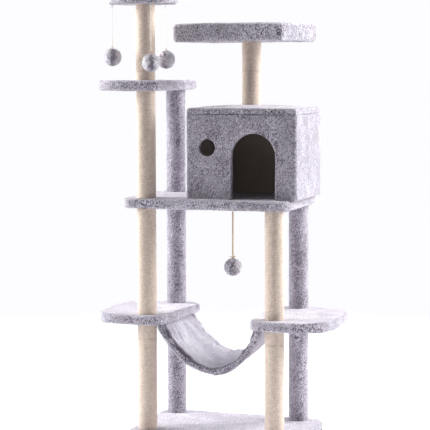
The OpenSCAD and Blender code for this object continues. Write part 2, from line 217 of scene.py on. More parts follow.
def knot(middle, size, wire, tails, seed):
    """A tied knot: a tube along a trefoil curve, with loose tails that curve up and outwards."""
    turn = np.linspace(0, 2 * math.pi, 60)
    curve = np.stack([np.sin(turn) + 2 * np.sin(2 * turn), np.cos(turn) - 2 * np.cos(2 * turn),
                      -1.2 * np.sin(3 * turn)], 1)
    parts = [carry(middle + curve * size / 3, wire, 8, (0.3, 0.2, 1))]
    for i in range(tails):
        heading = 2 * math.pi * (i + 0.4 * math.sin(9.1 * i + seed)) / tails
        reach = np.linspace(0, 1, 12)[:, None]
        out = np.array([math.cos(heading), math.sin(heading), 0])
        lift = 0.5 + 0.5 * math.sin(5.3 * i + 2 * seed)
        tail = middle + size * (out * reach * 2.1 + np.array([0, 0, 1]) * lift * reach * (1.9 - 1.6 * reach))
        parts.append(carry(tail, wire * (1 - 0.5 * reach[:, 0]), 6, (0.2, 0.1, 1)))
    return join(*parts)


# The heading in degrees, seen from the perch's middle, at which each string hangs.
perch_angles = {"a": 199, "b": 305, "c": 64}
for letter, degrees in perch_angles.items():
    node = f"perch_string_{letter}"
    line = string_line(node)
    thread = make_piece(f"elastic_string_{letter}", *carry(line, string_d / 2), elastic, f"pendulum_{letter}")
    loop = make_piece(f"elastic_eye_{letter}", *eye_loop(line, math.radians(degrees), eye_wire), elastic,
                      f"pendulum_{letter}")
    tied = make_piece(f"elastic_knot_{letter}",
                      *knot(line[-1] + [0, 0, sewn_in + 5 * MM], 3 * MM, 0.9 * MM, 2, degrees), jute,
                      f"pendulum_{letter}")
    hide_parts(node)

# Three strands wound round each other, each half the rope's radius out from its middle line.
rope_line = string_line("drop_rope", 160)
lay_length = 13 * MM
strands = []
for strand in range(3):
    wind = 2 * math.pi * ((rope_line[0][2] - rope_line[:, 2]) / lay_length + strand / 3)
    offset = np.stack([np.cos(wind), np.sin(wind), np.zeros(len(wind))], 1) * rope_d * 0.24
    strands.append(carry(rope_line + offset, rope_d * 0.26, 8))
rope = make_piece("jute_rope", *join(*strands), jute, "pendulum_drop")
rope_eye = make_piece("jute_eye", *eye_loop(rope_line, 0, eye_wire), jute, "pendulum_drop")
rope_knot = make_piece("jute_knot", *knot(rope_line[-1] + [0, 0, sewn_in + 4 * MM], 6 * MM, 1.1 * MM, 9, 4),
                       jute, "pendulum_drop")
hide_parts("drop_rope")


# --- Plush decks ------------------------------------------------------------------------------
# Each board is wrapped in brushed long-pile plush, sewn round the edge, so the edges are round and
# the pile stands in tufts. The bed and the house's lid have the same cloth, and the house and the back
# posts have it brushed flatter.


def rand(x, y, z, seed):
    """A hash of whole lattice points to 0..1, the same on every run."""
    h = (x * 374761393 + y * 668265263 + z * 1274126177 + seed * 974634777) & 0xFFFFFFFF
    h = ((h ^ (h >> 13)) * 1103515245) & 0xFFFFFFFF
    h = ((h ^ (h >> 11)) * 668265263) & 0xFFFFFFFF
    return ((h ^ (h >> 16)) & 0xFFFFFF) / 0xFFFFFF


def soft_noise(points, size, seed=0):
    """Smooth noise, -1..1: random lattice values size metres apart, blended by a smooth step."""
    q = points / size
    cell = np.floor(q).astype(np.int64)
    f = q - cell
    f = f * f * (3 - 2 * f)
    total = np.zeros(len(q))
    for dx in (0, 1):
        for dy in (0, 1):
            for dz in (0, 1):
                weight = (
                    np.abs(1 - dx - f[:, 0]) * np.abs(1 - dy - f[:, 1]) * np.abs(1 - dz - f[:, 2])
                )
                total += weight * rand(cell[:, 0] + dx, cell[:, 1] + dy, cell[:, 2] + dz, seed)
    return total * 2 - 1


def tufts(points, size, seed=0):
    """Rounded tufts, 0..1: one less the squared distance to the nearest random centre, over size."""
    q = points / size
    cell = np.floor(q).astype(np.int64)
    nearest = np.full(len(q), 9.0)
    for dx in (-1, 0, 1):
        for dy in (-1, 0, 1):
            for dz in (-1, 0, 1):
                k = cell + (dx, dy, dz)
                centre = k + 0.15 + 0.7 * np.stack(
                    [rand(k[:, 0], k[:, 1], k[:, 2], seed + i) for i in (1, 2, 3)], 1
                )
                nearest = np.minimum(nearest, ((q - centre) ** 2).sum(1))
    return np.clip(1 - nearest * 1.25, 0, 1)


def strokes(points, width, length, seed=0):
    """Brush strokes, -1..1: soft noise of that width, drawn out along one of three slanting
    directions, with each direction in its own patches."""
    total, weights = np.zeros(len(points)), np.full(len(points), 1e-6)
    for i, direction in enumerate([(0.5, 0.45, 0.74), (0.62, 0.5, -0.6), (0.75, 0.65, 0.12)]):
        along = points @ np.array(direction)
        drawn = points + (along * (width / length - 1))[:, None] * np.array(direction)
        patch = np.clip(soft_noise(points, 45 * MM, seed + 3 * i) * 2.5 + 0.5, 0, 1) ** 2
        total += patch * soft_noise(drawn, width, seed + 3 * i + 1)
        weights += patch
    return total / np.maximum(weights, 0.3)


def pile(points, loft, size=7 * MM, seed=0, brushed=0.0, grain=0.9):
    """Height in metres and tone 0..1 of pile: four parts of large tufts, three of small ones and three
    of brush strokes, all raised and lowered by a broad swell. brushed, 0..1 at each point, says how far
    the pile is smoothed down, which also evens its tone into pale streaks, partly painted light where the
    callers brush the upward faces; grain says how much the tone follows the tufts, darker down between
    them, partly the roots' own colour and partly painted shade."""
    lean = np.stack([soft_noise(points, 30 * MM, seed + i) for i in (11, 12, 13)], 1) * size * 0.5
    large = tufts(points + lean, size, seed)
    small = tufts(points - lean, size * 0.6, seed + 20)
    locks = strokes(points, 4.5 * MM, 15 * MM, seed + 40)
    broad = soft_noise(points, 60 * MM, seed + 30)
    fluff = 0.4 * large + 0.3 * small + 0.3 * (0.5 + 0.5 * locks)
    height = loft * (1 - 0.55 * brushed) * (fluff - 0.5) * (1 + 0.35 * broad) + 0.25 * loft * broad
    # Painted shade: the tone is darker down between the tufts and paler on their tops, partly the pile's own
    # roots and tips. Where brushed, it turns to pale streaks, partly painted light.
    tone = np.clip(0.5 + grain * (fluff - 0.55) + 0.3 * locks + 0.13 * broad, 0, 1)
    brushed_and_lit_top = 0.88 + 0.25 * strokes(points, 9 * MM, 70 * MM, seed + 50)
    return height, tone * (1 - 0.65 * brushed) + 0.65 * brushed_and_lit_top * brushed


def normals_of(points, faces):
    """Unit normal at each point: the sum of the crossed diagonals of its faces."""
    a, b, c, d = (points[faces[:, i]] for i in range(4))
    crossed = np.cross(c - a, d - b)
    total = np.stack([
        sum(np.bincount(faces[:, i], crossed[:, axis], len(points)) for i in range(4)) for axis in range(3)
    ], 1)
    return total / np.maximum(np.linalg.norm(total, axis=1), 1e-12)[:, None]


def mottled(tree, noises):
    """A level, 0 to 1: the piece's own tone, plus each noise less a half, times its weight."""
    level = add(tree, "ShaderNodeAttribute", attribute_name="tone").outputs["Fac"]
    for noise, weight in noises:
        change = add(tree, "ShaderNodeMath", {0: noise.outputs[0], 1: weight, 2: -weight / 2},
                     operation="MULTIPLY_ADD")
        level = add(tree, "ShaderNodeMath", {0: level, 1: change.outputs[0]}, operation="ADD").outputs[0]
    return add(tree, "ShaderNodeClamp", {"Value": level}).outputs[0]


def plush_material(name, tip, root, sheen=1.0, contrast=6.0, swirls=0.9):
    """Long polyester pile: pale tips over darker roots, with a soft sheen where it is seen edge on.
    The colour goes from root to tip by the piece's own tone, plus contrast times the locks' noise, plus
    swirls times a broad one."""
    material, tree, output = blank_material(name)
    place = add(tree, "ShaderNodeTexCoord")
    # Fibres of 0.05 mm gather in locks, drawn 2.7 mm across and 4.5 mm long, so that they show. They
    # lie on a slant that a noise 70 mm broad bends one way and the other, as brushing does.
    locks_per_metre, bends_per_metre, swirls_per_metre = 370.0, 14.0, 11.0
    bend = add(tree, "ShaderNodeTexNoise", {"Vector": place.outputs["Object"], "Scale": bends_per_metre,
                                            "Detail": 1.0})
    bent = add(tree, "ShaderNodeVectorMath", {0: bend.outputs["Color"], 1: (0.06, 0.06, 0.06),
                                              2: place.outputs["Object"]}, operation="MULTIPLY_ADD")
    slant = add(tree, "ShaderNodeMapping", {"Vector": bent.outputs[0], "Rotation": (0.5, 0.45, 0.3),
                                            "Scale": (1, 1, 0.6)})
    locks = add(tree, "ShaderNodeTexNoise", {"Vector": slant.outputs[0], "Scale": locks_per_metre,
                                             "Detail": 2.0, "Roughness": 0.5, "Distortion": 0.4})
    swirl = add(tree, "ShaderNodeTexNoise", {"Vector": place.outputs["Object"], "Scale": swirls_per_metre,
                                             "Detail": 3.0, "Distortion": 1.5})
    level = mottled(tree, [(locks, contrast), (swirl, swirls)])
    colour = add(tree, "ShaderNodeMix", {0: level, 6: linear(root), 7: linear(tip)}, data_type="RGBA")
    bump = add(tree, "ShaderNodeBump", {"Height": locks.outputs[0], "Strength": 1.0, "Distance": 5 * MM})
    shader = add(tree, "ShaderNodeBsdfPrincipled", {
        "Base Color": colour.outputs[2], "Roughness": 0.95, "Specular IOR Level": 0.15,
        "Sheen Weight": sheen, "Sheen Roughness": 0.5, "Normal": bump.outputs["Normal"]})
    shader.inputs["Sheen Tint"].default_value = linear("#f4f2f8")
    tree.links.new(shader.outputs[0], output.inputs["Surface"])
    return material


# The same cloth twice: in tufts on the decks, and brushed flat round the house and the posts.
plush = plush_material("tufted_plush", "#ddd7e3", "#4b4251")
brushed_plush = plush_material("brushed_plush", "#d3cdd9", "#554b5b", contrast=3.8, swirls=0.6)


def outline_radius(node, centre, spin=0.0):
    """The distance from centre to a node's outline in plan, as a function of angle: the convex hull
    of its points, turned back by spin, with each ray cut by the hull's straight edges."""
    raw = np.zeros(len(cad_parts[node].data.vertices) * 3, np.float32)
    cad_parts[node].data.vertices.foreach_get("co", raw)
    flat = np.unique(np.round(raw.reshape(-1, 3)[:, :2] - centre, 6), axis=0)
    flat = flat @ np.array([[math.cos(spin), -math.sin(spin)], [math.sin(spin), math.cos(spin)]])
    flat = flat[np.lexsort((flat[:, 1], flat[:, 0]))]

    def half(points):
        """One side of the hull: the points in order, less each one that makes a right turn."""
        chain = []
        for p in points:
            while len(chain) > 1 and np.cross(chain[-1] - chain[-2], p - chain[-2]) <= 0:
                chain.pop()
            chain.append(p)
        return chain[:-1]

    hull = np.array(half(list(flat)) + half(list(flat[::-1])))
    bearing = np.arctan2(hull[:, 1], hull[:, 0])
    order = np.argsort(bearing)
    hull, bearing = hull[order], bearing[order]

    def radius(angle):
        """How far a ray at that angle goes before it crosses the hull's side there."""
        i = np.searchsorted(bearing, angle) % len(hull)
        p, q = hull[i - 1], hull[i]
        side = q - p
        direction = np.stack([np.cos(angle), np.sin(angle)], -1)
        return np.cross(p, side) / np.cross(direction, side)

    return radius, np.abs(hull).max(0)


def rim_of(rows, columns):
    """Indices of a grid's outermost points, in order round it."""
    i = np.arange(rows * columns).reshape(rows, columns)
    return np.concatenate([i[0, :-1], i[:-1, -1], i[-1, :0:-1], i[:0:-1, 0]])


def deck(node, step=3 * MM, edge=11 * MM, loft=4 * MM, crown=0.0, spin=0.0, relief=None, seed=0,
         lowest=None, droop=0.0, flat=False):
    """A covered board as one closed skin. Its plan is a square grid drawn out to the node's outline.
    The edge is a quarter circle, top and bottom, and the pile's height moves every point outwards.
    droop lowers the ends with the fourth power of the distance, and flat leaves the pile off."""
    low, high = (np.array(corner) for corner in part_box(node))
    centre = (low[:2] + high[:2]) / 2
    radius, half = outline_radius(node, centre, spin)
    bottom, top = (low[2] if lowest is None else lowest), high[2]
    edge = min(edge, (top - bottom) / 2 - 0.5 * MM)    # leaves at least 1 mm of straight side
    arc = math.pi / 2 * edge

    def axis(reach):
        """Grid lines along one axis: evenly spaced over the flat and round the edge."""
        whole = reach - edge + arc
        count = 2 * int(round(whole / step)) + 1
        line = np.linspace(-whole, whole, count)
        inward = whole - np.abs(line)
        bend = np.clip(inward / edge, 0, math.pi / 2)
        distance = np.where(inward < arc, edge * (1 - np.cos(bend)), inward - arc + edge)
        return np.sign(line) * (reach - distance), edge * (1 - np.sin(bend))

    xs, drop_x = axis(half[0])
    ys, drop_y = axis(half[1])
    x, y = np.meshgrid(xs, ys)
    drop = np.minimum(edge, np.hypot(*np.meshgrid(drop_x, drop_y)))
    angle = np.arctan2(y, x)
    to_box = 1 / np.maximum(np.abs(np.cos(angle)) / half[0], np.abs(np.sin(angle)) / half[1])
    share = np.maximum(np.abs(x) / half[0], np.abs(y) / half[1]) ** 4
    pull = 1 - share * (1 - radius(angle) / to_box)
    sx, sy = x * pull, y * pull
    swell = crown * (1 - (x / half[0]) ** 2) * (1 - (y / half[1]) ** 2)
    z = top - drop + swell
    if relief is not None:
        z = z + relief(half[0] - np.abs(x), half[1] - np.abs(y))
    rows, columns = x.shape
    rim = rim_of(rows, columns)
    levels = max(2, int((top - bottom - 2 * edge) / step) + 1)
    sides = np.linspace(top - edge, bottom + edge, levels + 1)[1:-1]
    plan = np.stack([sx, sy], -1).reshape(-1, 2)
    upper = np.column_stack([plan, z.ravel()])
    lower = np.column_stack([plan, (bottom + drop).ravel()])
    bands = [np.column_stack([plan[rim], np.full(len(rim), level)]) for level in sides]
    points = np.concatenate([upper, lower] + bands)
    faces = [grid_faces(rows, columns), grid_faces(rows, columns)[:, ::-1] + len(upper)]
    rings = [rim] + [2 * len(upper) + k * len(rim) + np.arange(len(rim)) for k in range(len(sides))]
    rings.append(rim + len(upper))
    for over, under in zip(rings, rings[1:]):
        faces.append(np.stack([under, np.roll(under, -1), np.roll(over, -1), over], 1))
    faces = np.concatenate(faces)
    points[:, 2] -= droop * (0.6 * (points[:, 0] / half[0]) ** 4 + 0.4 * (points[:, 1] / half[1]) ** 4)
    c, s = math.cos(spin), math.sin(spin)
    points[:, :2] = points[:, :2] @ np.array([[c, s], [-s, c]]) + centre
    if flat:
        return points, faces
    normal = normals_of(points, faces)
    # The upward faces are brushed flatter, and their tone is paled, partly painted light from above.
    height, tone = pile(points, loft, seed=seed, brushed=np.clip(normal[:, 2] * 1.3 - 0.3, 0, 1))
    return points + normal * height[:, None], faces, tone


decks = {
    "base": dict(loft=3.4 * MM, seed=1),
    "left_shelf": dict(seed=2),
    "right_shelf": dict(seed=3),
    "platform": dict(seed=4),
    "oval_shelf": dict(seed=5),
    "perch": dict(seed=6),
}
for place, shape in decks.items():
    points, faces, tone = deck(f"{place}_cover", **shape)
    cover = make_piece(f"{place}_plush", points, faces, plush, tone=tone)
    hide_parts(f"{place}_cover")


# --- Posts ------------------------------------------------------------------------------------
# Cardboard tubes: the front ones and the bed's are wound with sisal rope, one turn against the
# next, and the back ones are wrapped in the same plush as the decks.


def sisal_material():
    """Sisal rope: pale, dry leaf fibre that runs along the rope, so round the post."""
    material, tree, output = blank_material("wound_sisal")
    place = add(tree, "ShaderNodeTexCoord")
    # Fibres 0.2 mm thick, drawn 1.1 mm, so that they show, and knots and gaps about 4 mm across.
    fibres_per_metre, knots_per_metre = 900.0, 240.0
    fibres = add(tree, "ShaderNodeTexNoise", {"Vector": place.outputs["Object"], "Scale": fibres_per_metre,
                                              "Detail": 3.0})
    uneven = add(tree, "ShaderNodeTexNoise", {"Vector": place.outputs["Object"], "Scale": knots_per_metre,
                                              "Detail": 2.0})
    level = mottled(tree, [(fibres, 0.8), (uneven, 1.0)])
    colour = add(tree, "ShaderNodeMix", {0: level, 6: linear("#a48b79"), 7: linear("#e2d4c6")},
                 data_type="RGBA")
    bump = add(tree, "ShaderNodeBump", {"Height": fibres.outputs[0], "Strength": 0.5, "Distance": 0.5 * MM})
    shader = add(tree, "ShaderNodeBsdfPrincipled", {
        "Base Color": colour.outputs[2], "Roughness": 0.82, "Specular IOR Level": 0.25,
        "Normal": bump.outputs["Normal"]})
    tree.links.new(shader.outputs[0], output.inputs["Surface"])
    return material


sisal = sisal_material()
rope_pitch = 5.5 * MM
tube_r = 30 * MM
play = 0.3 * MM             # between a layer and its tube, and at each of the layer's ends


def on_post(angle, z, centre, radius):
    """Points round a post's axis, at those angles and heights and that far out."""
    return np.stack([centre[0] + radius * np.cos(angle), centre[1] + radius * np.sin(angle), z], -1)


def round_shell(node, rows, columns, surface):
    """A post's layer as a closed sleeve: surface(angle, z) gives its outer radius and tone, and a
    plain cylinder just outside the cardboard tube closes it from within."""
    low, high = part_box(node)
    centre = np.array([(low.x + high.x) / 2, (low.y + high.y) / 2])
    angle, z = np.meshgrid(np.linspace(0, 2 * math.pi, columns, endpoint=False),
                           np.linspace(low.z + play, high.z - play, rows))
    radius, tone = surface(angle, z, centre, (high.x - low.x) / 2)
    outer = on_post(angle, z, centre, radius)
    inner = on_post(angle[[0, -1]], z[[0, -1]], centre, tube_r + play)
    points = np.concatenate([outer.reshape(-1, 3), inner.reshape(-1, 3)])
    around = np.arange(columns)
    after = (around + 1) % columns
    foot, head = rows * columns, (rows + 1) * columns
    last = (rows - 1) * columns
    faces = np.concatenate([
        grid_faces(rows, columns, True),
        np.stack([foot + around, foot + after, after, around], 1),
        np.stack([last + around, last + after, head + after, head + around], 1),
        np.stack([foot + after, foot + around, head + around, head + after], 1),
    ])
    return points, faces, np.concatenate([tone.ravel(), np.full(2 * columns, 0.3)])


strands_round = 37          # slanting strands counted round one turn
joint_share = 0.014         # of all turns


def sisal_surface(angle, z, centre, radius):
    """Rope turns: a half-round ridge that climbs one pitch a turn, crossed by slanting strands. Wear is
    uneven along a turn, slack differs from turn to turn, and now and then a joint sinks a turn."""
    turns = z / rope_pitch - angle / (2 * math.pi)
    ridge = np.sqrt(1 - 0.9 * (2 * (turns % 1) - 1) ** 2)
    strand = np.cos(angle * strands_round + 2 * math.pi * (turns % 1) + 1.7 * np.floor(turns))
    plain = on_post(angle, z, centre, radius).reshape(-1, 3)
    wear = soft_noise(plain, 6 * MM, 40).reshape(z.shape)
    slack = soft_noise(np.column_stack([angle.ravel() * 0.02, np.zeros(z.size), np.floor(turns).ravel()]),
                       1.0, 41).reshape(z.shape)
    height = 1.5 * MM * (ridge - 1) + 0.3 * MM * strand + 0.35 * MM * wear + 0.25 * MM * slack
    turn_number = np.floor(turns).astype(np.int64)
    joint = rand(turn_number, turn_number * 0 + 3, turn_number * 0, 42) < joint_share
    # Painted shade: the tone is darker down in the grooves between turns and between strands; the wear and
    # the sunk joints are the rope's own.
    tone = np.clip(0.3 + 0.5 * ridge + 0.14 * strand + 0.16 * wear - 0.2 * joint, 0, 1)
    return radius - 0.2 * MM + height - 0.3 * MM * joint, tone


def sleeve_surface(angle, z, centre, radius):
    """Plush round a post: tufts of pile on a plain cylinder."""
    height, tone = pile(on_post(angle, z, centre, radius).reshape(-1, 3), 3.2 * MM, seed=7, grain=0.4)
    return radius - 0.5 * MM + height.reshape(z.shape), tone.reshape(z.shape)


wraps = [f"left_front_wrap_{i}" for i in (1, 2, 3, 4)]
wraps += ["right_front_wrap_1", "right_front_wrap_2", "bed_post_wrap"]
for node in wraps:
    low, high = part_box(node)
    rows = int((high.z - low.z) / (rope_pitch / 5))
    points, faces, tone = round_shell(node, rows, 56, sisal_surface)
    wrap = make_piece(node.replace("wrap", "sisal"), points, faces, sisal, tone=tone)
    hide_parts(node)

sleeves = [f"left_back_sleeve_{i}" for i in (1, 2, 3)] + [f"right_back_sleeve_{i}" for i in (1, 2)]
for node in sleeves:
    low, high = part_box(node)
    points, faces, tone = round_shell(node, int((high.z - low.z) / (2.7 * MM)), 84, sleeve_surface)
    sleeve = make_piece(node.replace("sleeve", "plush"), points, faces, brushed_plush, tone=tone)
    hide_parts(node)


# --- House ------------------------------------------------------------------------------------
# Four board walls covered outside with plush, cut for an arched doorway and a round window, whose
# edges are bound with a turned-in band. The lid is a covered board of its own, screwed on top.

house_low, house_high = (np.array(corner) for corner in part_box("house_skin"))
skin_t = 8 * MM
corner_r = 14 * MM
door_r = 81.5 * MM
door_x = 159.5 * MM
door_spring = house_low[2] + 154.5 * MM
window_r = 31 * MM
window_x = -13 * MM
window_z = house_low[2] + 184 * MM
wall_step = 2.6 * MM


def from_door(x, z):
    """Distance outside the doorway's outline, negative inside it."""
    return np.where(z < door_spring, np.abs(x - door_x), np.hypot(x - door_x, z - door_spring)) - door_r


def from_window(x, z):
    """Distance outside the round window's outline, negative inside it."""
    return np.hypot(x - window_x, z - window_z) - window_r


def closed_sheet(points, faces, loft, thickness, seed, size=9 * MM):
    """A thin closed shell: the sheet with its pile outside, a plain copy of it inside, and every
    open edge of the sheet joined to the same edge of the copy."""
    normal = normals_of(points, faces)
    height, tone = pile(points, loft, size, seed, grain=0.35)
    outer = points + normal * height[:, None]
    inner = points - normal * thickness
    edges = np.concatenate([faces[:, [i, (i + 1) % 4]] for i in range(4)])
    edges = edges[edges[:, 0] != edges[:, 1]]
    key = edges.min(1) * len(points) + edges.max(1)
    first, count = np.unique(key, return_index=True, return_counts=True)[1:]
    open_edges = edges[first[count == 1]]
    count = len(points)
    wall = np.stack([open_edges[:, 1], open_edges[:, 0], open_edges[:, 0] + count,
                     open_edges[:, 1] + count], 1)
    return (np.concatenate([outer, inner]),
            np.concatenate([faces, faces[:, ::-1] + count, wall]),
            np.concatenate([tone, tone]))


def drop_unused(points, faces):
    """Only the points that the faces use, renumbered."""
    used, index = np.unique(faces, return_inverse=True)
    return points[used], index.reshape(faces.shape)


def wall_sheet(start, direction, length, cut=None):
    """One wall's sheet: straight, with half of each rounded corner at its ends. start is the corner
    of the box in plan, direction the unit vector along the wall, with the outside on its right."""
    arc = corner_r * math.pi / 4
    flat = length - 2 * corner_r
    s = np.linspace(-arc, flat + arc, int((flat + 2 * arc) / wall_step) + 1)
    z = np.linspace(house_low[2], house_high[2], int((house_high[2] - house_low[2]) / wall_step) + 1)
    bend = np.where(s < 0, s, np.where(s > flat, s - flat, 0)) / corner_r
    along = corner_r + np.clip(s, 0, flat) + corner_r * np.sin(bend)
    inward = corner_r * (1 - np.cos(bend))
    right = np.array([direction[1], -direction[0]])
    plan = np.array(start) + along[:, None] * np.array(direction) - inward[:, None] * right
    xs, zs = np.meshgrid(np.arange(len(s)), z)
    points = np.column_stack([plan[xs.ravel()], zs.ravel()])
    faces = grid_faces(len(z), len(s))
    if cut is None:
        return points, faces
    x, zz = points[:, 0], points[:, 2]
    for outside in cut:
        middle = points[faces].mean(1)
        kept = outside(middle[:, 0], middle[:, 2]) > 0
        on_edge = np.intersect1d(faces[kept], faces[~kept])
        faces = faces[kept]
        gap = outside(x[on_edge], zz[on_edge])
        tiny = 0.1 * MM
        slope_x = (outside(x[on_edge] + tiny, zz[on_edge]) - gap) / tiny
        slope_z = (outside(x[on_edge], zz[on_edge] + tiny) - gap) / tiny
        points[on_edge, 0] -= gap * slope_x
        points[on_edge, 2] = np.maximum(points[on_edge, 2] - gap * slope_z, house_low[2])
    return drop_unused(points, faces)


house_w, house_d = house_high[0] - house_low[0], house_high[1] - house_low[1]
binding_t = 3 * MM
walls = {
    "front": ((house_low[0], house_low[1]), (1, 0), house_w,
              (lambda x, z: from_door(x, z) - binding_t, lambda x, z: from_window(x, z) - binding_t)),
    "right": ((house_high[0], house_low[1]), (0, 1), house_d, None),
    "back": ((house_high[0], house_high[1]), (-1, 0), house_w, None),
    "left": ((house_low[0], house_high[1]), (0, -1), house_d, None),
}
for side, (start, direction, length, cut) in walls.items():
    points, faces = wall_sheet(start, direction, length, cut)
    points, faces, tone = closed_sheet(points, faces, 2.6 * MM, skin_t - 2 * MM, 8)
    skin = make_piece(f"house_{side}_plush", points, faces, brushed_plush, tone=tone)
    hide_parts("house_skin")


def squared(wave, power):
    """A cosine or sine pushed towards -1 and 1 by a power under one, which squares a circle off."""
    return np.sign(wave) * np.abs(wave) ** power


def binding(path, outward, closed, seed):
    """A turned-in band of plush: a rounded rectangle, as thick as the skin and as deep as the skin
    and the board, carried round an opening. outward points from the opening into the wall."""
    depth = 20 * MM
    around = np.linspace(0, 2 * math.pi, 28, endpoint=False)
    thick = skin_t - 1 * MM
    offset_out = (squared(np.cos(around), 0.35) + 1) / 2 * thick
    offset_in = (squared(np.sin(around), 0.35) + 1) / 2 * depth
    points = path[:, None] + offset_out[None, :, None] * outward[:, None]
    points = points + offset_in[None, :, None] * np.array([0, 1.0, 0])
    rows = len(path)
    points = points.reshape(-1, 3)
    faces = grid_faces(rows, len(around), True)
    if closed:
        last = (rows - 1) * len(around) + np.arange(len(around))
        first = np.arange(len(around))
        faces = np.concatenate([faces, np.stack([last, np.roll(last, -1), np.roll(first, -1), first], 1)])
    else:
        faces = np.concatenate([faces, end_caps(rows, len(around))])
    height, tone = pile(points, 2 * MM, 8 * MM, seed)
    normal = normals_of(points, faces)
    centre_out = (points - np.repeat(path + outward * thick / 2 + [0, depth / 2, 0], len(around), 0))
    if (normal * centre_out).sum() < 0:
        faces = faces[:, ::-1]
        normal = -normal
    return points + normal * height[:, None], faces, tone


front_y = house_low[1] - 0.5 * MM
half_turn = np.linspace(0, math.pi, 96)
rise = np.arange(house_low[2], door_spring, wall_step)
door_path = np.concatenate([
    np.column_stack([np.full(len(rise), door_x + door_r), rise]),
    np.column_stack([door_x + door_r * np.cos(half_turn), door_spring + door_r * np.sin(half_turn)]),
    np.column_stack([np.full(len(rise), door_x - door_r), rise[::-1]]),
])
door_out = np.stack([door_path[:, 0] - door_x, np.zeros(len(door_path)),
                     np.maximum(door_path[:, 1] - door_spring, 0)], 1) / door_r
full_turn = np.linspace(0, 2 * math.pi, 72, endpoint=False)
window_out = np.stack([np.cos(full_turn), 0 * full_turn, np.sin(full_turn)], 1)
window_path = np.array([window_x, front_y, window_z]) + window_r * window_out
door_points = np.column_stack([door_path[:, 0], np.full(len(door_path), front_y), door_path[:, 1]])
# Each opening's path, its outward directions, whether the path closes, and a seed for its pile.
openings = {"door": (door_points, door_out, False, 9), "window": (window_path, window_out, True, 10)}
for opening, shape in openings.items():
    points, faces, tone = binding(*shape)
    band = make_piece(f"{opening}_binding", points, faces, brushed_plush, tone=tone)

lid_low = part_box("house_lid_cover")[0].z - 1.5 * MM   # the lid's pile half hides the joint below it
points, faces, tone = deck("house_lid_cover", edge=9 * MM, loft=3.4 * MM, crown=7 * MM, seed=11,
                           lowest=lid_low, droop=2 * MM)
lid = make_piece("house_lid_plush", points, faces, plush, tone=tone)
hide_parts("house_lid_cover")


# --- Bed --------------------------------------------------------------------------------------
# A tray with a foam bolster round its edge, all under one plush cover, and a loose cushion in it.

bed_turn = math.radians(-9.5)
bed_rim = 52 * MM
bed_floor = 44 * MM         # depth of the tray below the top of its rim


def tray(from_side, from_end):
    """The hollow inside the rim: the top falls along a smooth step once past the rim's width."""
    inside = np.minimum(from_side, from_end)
    fall = np.clip((inside - bed_rim * 0.62) / (bed_rim * 0.5), 0, 1)
    return -bed_floor * fall * fall * (3 - 2 * fall)


points, faces, tone = deck("bed_cover", edge=13 * MM, loft=4.4 * MM, spin=bed_turn, relief=tray, seed=12,
                           droop=6 * MM)
bed = make_piece("bed_plush", points, faces, plush, tone=tone)
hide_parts("bed_cover", "bed_foam_rim")


def positions(mesh):
    """A mesh's points as an array."""
    flat = np.zeros(len(mesh.vertices) * 3, np.float32)
    mesh.vertices.foreach_get("co", flat)
    return flat.reshape(-1, 3).astype(float)


def swell(points, faces, cap, voxel=5 * MM, pressure=4.0, frames=20):
    """A closed shape filled like a cushion: remeshed in even squares, then cloth under pressure, with
    no point moved by more than cap."""
    mesh = bpy.data.meshes.new("swelling")
    mesh.from_pydata(points.tolist(), [], faces.tolist())
    soft = bpy.data.objects.new("swelling", mesh)
    bpy.context.collection.objects.link(soft)
    remesh = soft.modifiers.new("remesh", "REMESH")
    remesh.mode, remesh.voxel_size = "VOXEL", voxel
    even = bpy.data.meshes.new_from_object(soft.evaluated_get(bpy.context.evaluated_depsgraph_get()))
    soft.modifiers.clear()
    soft.data = even
    start = positions(even)
    quads = np.array([tuple(polygon.vertices) for polygon in even.polygons])
    moved = start
    cloth = soft.modifiers.new("cloth", "CLOTH")
    cloth.settings.use_pressure = True
    cloth.settings.uniform_pressure_force = pressure
    cloth.settings.effector_weights.gravity = 0
    for frame_number in range(1, frames + 1):
        bpy.context.scene.frame_set(frame_number)
    moved = positions(soft.evaluated_get(bpy.context.evaluated_depsgraph_get()).data)
    bpy.context.scene.frame_set(1)
    bpy.data.objects.remove(soft)
    step = moved - start
    far = np.linalg.norm(step, axis=1)
    return start + step * np.minimum(1, cap / np.maximum(far, 1e-9))[:, None], quads


points, faces = swell(*deck("bed_cushion", edge=10 * MM, spin=bed_turn, flat=True), cap=7 * MM)
normal = normals_of(points, faces)
# The cushion's upward faces are brushed flatter, and their tone is paled, partly painted light from above.
height, tone = pile(points, 2.4 * MM, seed=13, brushed=np.clip(normal[:, 2], 0, 1))
cushion = make_piece("bed_cushion_plush", points + normal * height[:, None], faces, plush, tone=tone)
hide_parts("bed_cushion")


# --- Hammock ----------------------------------------------------------------------------------
# A sling of plush lined with short-pile cloth, gathered into two padded hems and held under the
# shelves by wooden battens.

shelf_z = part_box("left_shelf_cover")[0].z
front_y0, back_y1 = -172 * MM, 130 * MM
hem_t = 29 * MM
sling_ends = np.array([[-188, 181], [-158, 176]]) * MM     # left and right, at the front and the back
sling_low_x = 13 * MM
sling_low_z = np.array([260, 287]) * MM
fullness = (1.87, 1.5)      # the power of the cosine, left and right of the lowest point
crease = 6 * MM             # height of the long creases


